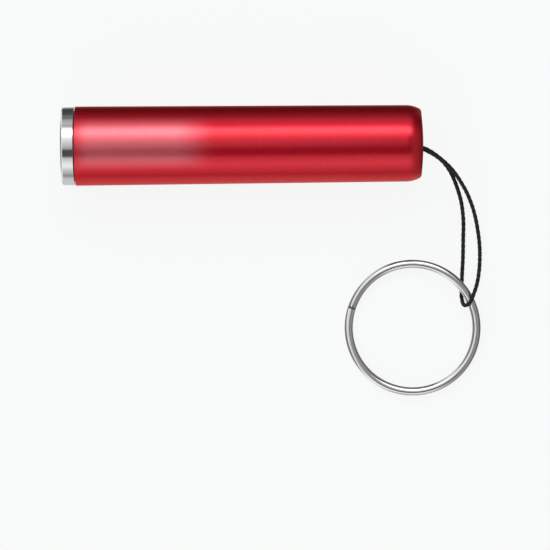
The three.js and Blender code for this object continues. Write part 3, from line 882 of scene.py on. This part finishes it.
def shell_relief(x, radius, angles):
    """Adds the thread's ridge to the rows at the thread's radius."""
    radii = np.full(len(angles), radius)
    if abs(radius - SHELL_THREAD_RADIUS) < 0.002 * MM:
        start, end = THREAD_X - 0.2 * MM, THREAD_X + 4.7 * MM
        radii += THREAD_DEPTH * ridge(x, angles, *SHELL_RIDGE, start, end)
    return radii


def lens_piece(material):
    """A flat lens with a slightly crowned front."""
    low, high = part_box("lens")
    radius = (high.y - low.y) / 2
    crown = 0.12 * MM
    front = []
    for i in range(7):
        r = radius * 0.92 * i / 6
        front.append((low.x + crown * (r / radius) ** 2, r))
    edge = rounded(
        [
            front[-1],
            (low.x + 0.2 * MM, radius, 0.1 * MM),
            (high.x, radius, 0.12 * MM),
            (high.x, 0.0),
        ],
        4,
    )[1:]
    return turned("lens_disc", front + edge, material, 128)


def reflector_piece(material):
    """A thin parabolic cup with a rim."""
    low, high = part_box("reflector")
    rim = (high.y - low.y) / 2
    wall = 0.22 * MM
    edge = 0.06 * MM
    focal = 1.2 * MM
    vertex = high.x + 0.41 * MM
    inside = []
    for i in range(19):
        x = low.x + 0.02 * MM + i / 18 * (high.x - low.x - 0.04 * MM)
        inside.append((x, math.sqrt(4 * focal * (vertex - x))))
    throat = inside[-1][1]
    foot = throat + 0.85 * MM
    outside = [(x, r + wall) for x, r in reversed(inside) if x < high.x - 0.4 * MM]
    rear = rounded(
        [
            inside[-1],
            (high.x, foot, edge),
            (high.x - 0.35 * MM, foot, edge),
            outside[0],
        ]
    )
    front = rounded(
        [
            outside[-3],
            (low.x + 0.4 * MM, rim, edge),
            (low.x, rim, 0.08 * MM),
            inside[0],
        ]
    )
    profile = [*inside, *rear[1:-1], *outside[:-2], *front[1:-1]]
    return turned("reflector_cup", profile, material, 128)


def dome_piece(material):
    """Half an ellipsoid, as the LED's lens."""
    low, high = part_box("led_dome")
    radius = (high.y - low.y) / 2
    profile = [(high.x, 0.0), (high.x, radius * 0.98)]
    for i in range(13):
        angle = i / 12 * math.pi / 2
        profile.append((high.x - (high.x - low.x) * math.sin(angle), radius * math.cos(angle)))
    profile[-1] = (low.x, 0.0)
    return turned("led_dome_cap", profile, material, 64)


def simple_disc(node, name, material, edge, hole=0.0, segments=96, y=0.0, z=0.0):
    """A turned disc or ring with softened edges, in a CAD node's place."""
    low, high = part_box(node)
    radius = (high.y - low.y) / 2
    if hole == 0.0:
        profile = rounded(
            [(low.x, 0.0), (low.x, radius, edge), (high.x, radius, edge), (high.x, 0.0)]
        )
    else:
        seam = ((low.x + high.x) / 2, hole)
        corners = [(low.x, hole), (low.x, radius), (high.x, radius), (high.x, hole)]
        profile = rounded([seam, *[(x, r, edge) for x, r in corners], seam])[:-1]
    return turned(name, profile, material, segments, y=y, z=z)


def o_ring(node, name, material):
    """A ring of round section, in a CAD node's place."""
    low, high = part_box(node)
    half = (high.x - low.x) / 2
    middle = (low.x + high.x) / 2
    centre = (high.y - low.y) / 2 - half
    profile = []
    for i in range(20):
        angle = i / 20 * 2 * math.pi
        profile.append((middle + half * math.cos(angle), centre + half * math.sin(angle)))
    return turned(name, profile, material, 128)


def rounded_box(node, name, material, edge):
    """A box with bevelled edges, in a CAD node's place."""
    low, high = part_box(node)
    vertices = []
    for x in (low.x, high.x):
        for y in (low.y, high.y):
            for z in (low.z, high.z):
                vertices.append((x, y, z))
    faces = [(0, 1, 3, 2), (4, 6, 7, 5), (0, 4, 5, 1), (2, 3, 7, 6), (0, 2, 6, 4), (1, 5, 7, 3)]
    piece = add_piece(name, vertices, faces, material, 40.0)
    bevel = piece.modifiers.new("bevel", "BEVEL")
    bevel.width = edge
    bevel.segments = 3
    bevel.limit_method = "ANGLE"
    return outward(piece)


def add_head():
    shell = turned("head_body", shell_profile(), chrome(), 192, shell_relief)
    shell.data.materials.append(painted_shade_neck())
    # The neck's faces in the gap behind the band take the near-black finish, as painted shade.
    neck_start = HEAD_X + BAND_LENGTH + 0.02 * MM
    for face in shell.data.polygons:
        centre = face.center
        reach = math.hypot(centre.y, centre.z - AXIS_Z)
        if neck_start < centre.x < THREAD_X and NECK_REACH[0] < reach < NECK_REACH[1]:
            face.material_index = 1
    finish_piece(shell, "head", "chrome", "head_shell")
    lens = lens_piece(clear_lens())
    finish_piece(lens, "head", "clear_plastic", "lens")
    cup = reflector_piece(reflector_metal())
    finish_piece(cup, "head", "reflector_metal", "reflector")
    dome = dome_piece(clear_lens("led_silicone"))
    finish_piece(dome, "head", "clear_plastic", "led_dome")
    seal = o_ring("head_o_ring", "head_seal_ring", rubber())
    finish_piece(seal, "head_seal", "seal_rubber", "head_o_ring")

    white = moulded("white_moulding", (0.74, 0.73, 0.70))
    green = moulded("board_mask", (0.02, 0.12, 0.05), 0.4)
    black = moulded("black_moulding", (0.02, 0.02, 0.022))
    gold = gold_contact()
    dark_rubber = rubber("gasket_rubber")
    edge = 0.06 * MM
    discs = [
        ("lens_gasket", "lens_seal", dark_rubber, "seal_rubber", 4.75 * MM),
        ("led_spacer", "spacer_ring", white, "white_plastic", 2.5 * MM),
        ("led_board", "led_carrier", white, "board_white", 0.0),
        ("driver_board", "driver_carrier", green, "board_green", 0.0),
        ("retaining_ring", "lock_ring", gold, "contact_brass", 4.1 * MM),
        ("contact_button", "contact_pad", gold, "contact_brass", 0.0),
    ]
    for node, name, material, slot, hole in discs:
        finish_piece(simple_disc(node, name, material, edge, hole), "head", slot, node)
    boxes = [
        ("led_package", "led_chip", phosphor(), "phosphor"),
        ("driver_chip", "converter_chip", black, "black_plastic"),
        ("driver_capacitor", "chip_capacitor", gold, "contact_brass"),
    ]
    for node, name, material, slot in boxes:
        finish_piece(rounded_box(node, name, material, edge), "head", slot, node)
    for node, name, material, slot in [
        ("driver_inductor", "inductor_can", black, "black_plastic"),
        ("positive_lead", "lead_positive", gold, "contact_brass"),
        ("negative_lead", "lead_negative", gold, "contact_brass"),
    ]:
        low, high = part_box(node)
        y = (low.y + high.y) / 2
        z = (low.z + high.z) / 2 - AXIS_Z
        piece = simple_disc(node, name, material, edge, segments=48, y=y, z=z)
        finish_piece(piece, "head", slot, node)


# ---------------------------------------------------------------- cell and tail parts


def can_piece(material):
    """The cell's can, crimped at its open end, with a raised contact at the other."""
    low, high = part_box("battery_can")
    radius = (high.y - low.y) / 2
    wall = 0.25 * MM
    core_low, core_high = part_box("battery_core")
    core_start = core_low.x
    core_end = core_high.x + 0.05 * MM
    profile = rounded(
        [
            (core_start, radius - wall),
            (low.x + 0.35 * MM, radius - wall, 0.1 * MM),
            (low.x, 4.75 * MM, 0.05 * MM),
            (low.x, 4.95 * MM, 0.1 * MM),
            (low.x + 0.3 * MM, radius, 0.2 * MM),
            (high.x - 0.25 * MM, radius, 0.3 * MM),
            (high.x - 0.1 * MM, 4.6 * MM, 0.15 * MM),
            (high.x - 0.12 * MM, 3.9 * MM, 0.1 * MM),
            (high.x, 3.7 * MM, 0.1 * MM),
            (high.x, 0.0),
        ]
    )
    inner = [(core_end, 0.0), (core_end, radius - wall), (core_start, radius - wall)]
    return turned("cell_can", [*inner, *profile[1:]], material, 96)


def cap_piece(material):
    """The cell's positive end: a nub on a flange."""
    low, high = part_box("battery_positive_cap")
    flange = (high.y - low.y) / 2
    profile = rounded(
        [
            (low.x, 0.0),
            (low.x, 1.85 * MM, 0.35 * MM),
            (high.x - 0.25 * MM, 1.9 * MM, 0.12 * MM),
            (high.x - 0.25 * MM, flange, 0.06 * MM),
            (high.x, flange, 0.06 * MM),
            (high.x, 0.0),
        ],
        6,
    )
    return turned("cell_cap", profile, material, 96)


def add_cell():
    steel = plated_steel("cell_steel")
    finish_piece(can_piece(steel), "barrel", "cell_steel", "battery_can")
    finish_piece(cap_piece(steel), "barrel", "cell_steel", "battery_positive_cap")


SPRING_WIRE = 0.7 * MM
SPRING_TURNS = 4


def spring_line():
    """A cone's helix, narrow where it meets the cell."""
    low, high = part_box("tail_spring")
    share = np.linspace(0, 1, 220)
    radius = (2.2 + 2.1 * share) * MM
    angle = share * SPRING_TURNS * 2 * math.pi
    x = low.x + SPRING_WIRE / 2 + (high.x - low.x - SPRING_WIRE) * share
    across = radius * np.cos(angle)
    up = radius * np.sin(angle)
    return np.stack([x, -across, AXIS_Z + up], axis=1)


def cup_piece(material):
    """The cup that holds the cord's knot, closed towards the cell."""
    low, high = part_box("knot_cup")
    radius = (high.y - low.y) / 2
    floor_x = low.x + 1.2 * MM
    pocket = 2.4 * MM
    profile = rounded(
        [
            (low.x, 0.0),
            (low.x, radius, 0.15 * MM),
            (high.x, radius, 0.15 * MM),
            (high.x, pocket, 0.2 * MM),
            (floor_x, pocket, 0.2 * MM),
            (floor_x, 0.0),
        ]
    )
    return turned("knot_housing", profile, material, 96)


def add_tail_parts():
    edge = 0.06 * MM
    gold = bpy.data.materials["gold_contact"]
    black = bpy.data.materials["black_moulding"]
    for node, name, material, slot, hole in [
        ("battery_seal_ring", "cell_seal", black, "black_plastic", 3.45 * MM),
        ("battery_core", "cell_core", pressed_mix(), "cell_mix", 0.0),
        ("battery_jacket", "cell_jacket", cell_film(), "cell_jacket", 5.13 * MM),
        ("battery_sleeve", "card_tube", card_sleeve(), "sleeve_card", 5.4 * MM),
        ("foam_ring", "foam_washer", foam(), "foam", 2.6 * MM),
        ("spring_plate", "contact_plate", gold, "contact_brass", 0.0),
    ]:
        small = 0.03 * MM if node == "battery_jacket" else edge
        finish_piece(simple_disc(node, name, material, small, hole), "barrel", slot, node)
    wire = ellipse(0.34 * MM, 0.34 * MM, 14)
    spring = tube("contact_spring", spring_line(), wire, plated_steel("spring_steel"))
    finish_piece(spring, "barrel", "spring_steel", "tail_spring")
    finish_piece(cup_piece(black), "barrel", "black_plastic", "knot_cup")


add_barrel()
add_head()
add_cell()
add_tail_parts()

# ---------------------------------------------------------------- floor

FLOOR_HALF = 3.0
FLOOR_Z = -0.04 * MM                  # just under the barrel's round underside
FLOOR_COLOR = (0.925, 0.945, 0.935)


def add_floor():
    """A pale floor that glows a little, so that it is as light as the backdrop."""
    corners = [(-1, -1), (1, -1), (1, 1), (-1, 1)]
    vertices = [(x * FLOOR_HALF, y * FLOOR_HALF, FLOOR_Z) for x, y in corners]
    mesh = bpy.data.meshes.new("floor")
    mesh.from_pydata(vertices, [], [(0, 1, 2, 3)])
    floor = bpy.data.objects.new("floor", mesh)
    bpy.context.scene.collection.objects.link(floor)
    look = Look("pale_floor", (0.12, 0.122, 0.121), roughness=0.9)
    look.set("Specular IOR Level", 0.0)
    look.set("Emission Color", (*FLOOR_COLOR, 1.0))
    look.set("Emission Strength", 0.935)
    mesh.materials.append(look.material)
    floor.visible_glossy = False


# ---------------------------------------------------------------- studio light

# Brightness of the studio by the angle from overhead, positive towards +Y, in degrees: light
# from below, a large softbox in front, a dark gap, a pale ceiling, a bright lamp, a dark wall.
STUDIO = [
    (-180, 0.64), (-116, 0.62), (-104, 0.36), (-100, 0.26), (-95, 0.38), (-88, 0.49),
    (-78, 0.62), (-66, 0.92), (-57, 0.93), (-46, 0.71), (-38, 0.58), (-32, 0.07),
    (-14, 0.07), (-9, 0.38), (-2, 0.53), (8, 0.68), (20, 0.90), (27, 1.15), (29, 1.75),
    (33, 2.75), (46, 2.75), (51, 1.1), (60, 0.38), (68, 0.52), (80, 0.42), (90, 0.16),
    (99, 0.17), (108, 0.07), (135, 0.05), (146, 0.14), (158, 0.42), (180, 0.60),
]
STUDIO_PEAK = 3.0
LEFT_BRIGHTNESS = 0.95
LEFT_END_DROP = 0.75                  # how much darker the left side is at its end
RIGHT_BRIGHTNESS = 0.34
RIGHT_END_DROP = 0.26                 # how much darker the right side is at its end
BEHIND_DROP = 0.8                     # the share of the right side's light lost behind
PANEL_BRIGHTNESS = 0.04
PANEL_DENSITY = 0.85


def add_studio():
    """The world's light, and a plain backdrop that only the camera sees."""
    world = bpy.data.worlds.new("studio")
    bpy.context.scene.world = world
    world.use_nodes = True
    nodes, links = world.node_tree.nodes, world.node_tree.links
    nodes.clear()
    output = nodes.new("ShaderNodeOutputWorld")

    def math_node(operation, first, second=None, third=None):
        node = nodes.new("ShaderNodeMath")
        node.operation = operation
        for socket, value in zip(node.inputs, (first, second, third)):
            if value is None:
                continue
            if isinstance(value, (int, float)):
                socket.default_value = value
            else:
                links.new(value, socket)
        return node.outputs["Value"]

    def step_node(value, low, high):
        """0 below low, 1 above high and smooth between."""
        node = nodes.new("ShaderNodeMapRange")
        node.interpolation_type = "SMOOTHSTEP"
        node.inputs["From Min"].default_value = low
        node.inputs["From Max"].default_value = high
        links.new(value, node.inputs["Value"])
        return node.outputs["Result"]

    def mix(amount, start, end):
        change = math_node("SUBTRACT", end, start)
        return math_node("MULTIPLY_ADD", change, amount, start)

    direction = nodes.new("ShaderNodeTexCoord").outputs["Generated"]
    split = nodes.new("ShaderNodeSeparateXYZ")
    links.new(direction, split.inputs["Vector"])
    x, y, z = split.outputs["X"], split.outputs["Y"], split.outputs["Z"]
    minus_x = math_node("MULTIPLY", x, -1.0)
    minus_y = math_node("MULTIPLY", y, -1.0)
    angle = math_node("ARCTAN2", y, z)
    share = math_node("MULTIPLY_ADD", angle, 1 / (2 * math.pi), 0.5)
    ramp = nodes.new("ShaderNodeValToRGB")
    elements = ramp.color_ramp.elements
    for i, (degrees, level) in enumerate(STUDIO):
        place = degrees / 360 + 0.5
        element = elements[i] if i < 2 else elements.new(place)
        element.position = place
        grey = level / STUDIO_PEAK
        element.color = (grey, grey, grey, 1.0)
    links.new(share, ramp.inputs["Fac"])
    middle = math_node("MULTIPLY", ramp.outputs["Color"], STUDIO_PEAK)

    # A dark panel just right of overhead, which the tail's rounding mirrors.
    panel = math_node("MULTIPLY", step_node(x, 0.05, 0.12), step_node(minus_x, -0.46, -0.36))
    panel = math_node("MULTIPLY", panel, step_node(minus_y, -0.42, -0.30))
    panel = math_node("MULTIPLY", panel, step_node(y, -0.30, -0.10))
    middle = mix(math_node("MULTIPLY", panel, PANEL_DENSITY), middle, PANEL_BRIGHTNESS)

    # The right side is darker at its end and darker still behind the object.
    height = math_node("MULTIPLY_ADD", step_node(z, -0.05, 0.20), -0.5, 1.0)
    right_end = math_node("MULTIPLY", step_node(x, 0.5, 0.95), height)
    right = math_node("MULTIPLY_ADD", right_end, -RIGHT_END_DROP, RIGHT_BRIGHTNESS)
    behind = math_node("MULTIPLY", step_node(y, 0.3, 0.85), step_node(z, -0.7, -0.1))
    right = math_node("MULTIPLY", right, math_node("MULTIPLY_ADD", behind, -BEHIND_DROP, 1.0))

    # The left side is bright, with a dark end that the head's rim mirrors.
    left_end = step_node(minus_x, 0.6, 0.85)
    left = math_node("MULTIPLY_ADD", left_end, -LEFT_END_DROP, LEFT_BRIGHTNESS)

    sided = mix(step_node(x, 0.22, 0.5), middle, right)
    sided = mix(step_node(minus_x, 0.25, 0.5), sided, left)

    light = nodes.new("ShaderNodeBackground")
    links.new(sided, light.inputs["Strength"])
    light.inputs["Color"].default_value = (1.0, 1.0, 1.0, 1.0)
    backdrop = nodes.new("ShaderNodeBackground")
    backdrop.inputs["Color"].default_value = (*FLOOR_COLOR, 1.0)
    backdrop.inputs["Strength"].default_value = 1.0
    seen = nodes.new("ShaderNodeLightPath").outputs["Is Camera Ray"]
    choose = nodes.new("ShaderNodeMixShader")
    links.new(seen, choose.inputs[0])
    links.new(light.outputs[0], choose.inputs[1])
    links.new(backdrop.outputs[0], choose.inputs[2])
    links.new(choose.outputs[0], output.inputs["Surface"])


add_floor()
add_studio()
bpy.context.scene.view_settings.view_transform = "Standard"
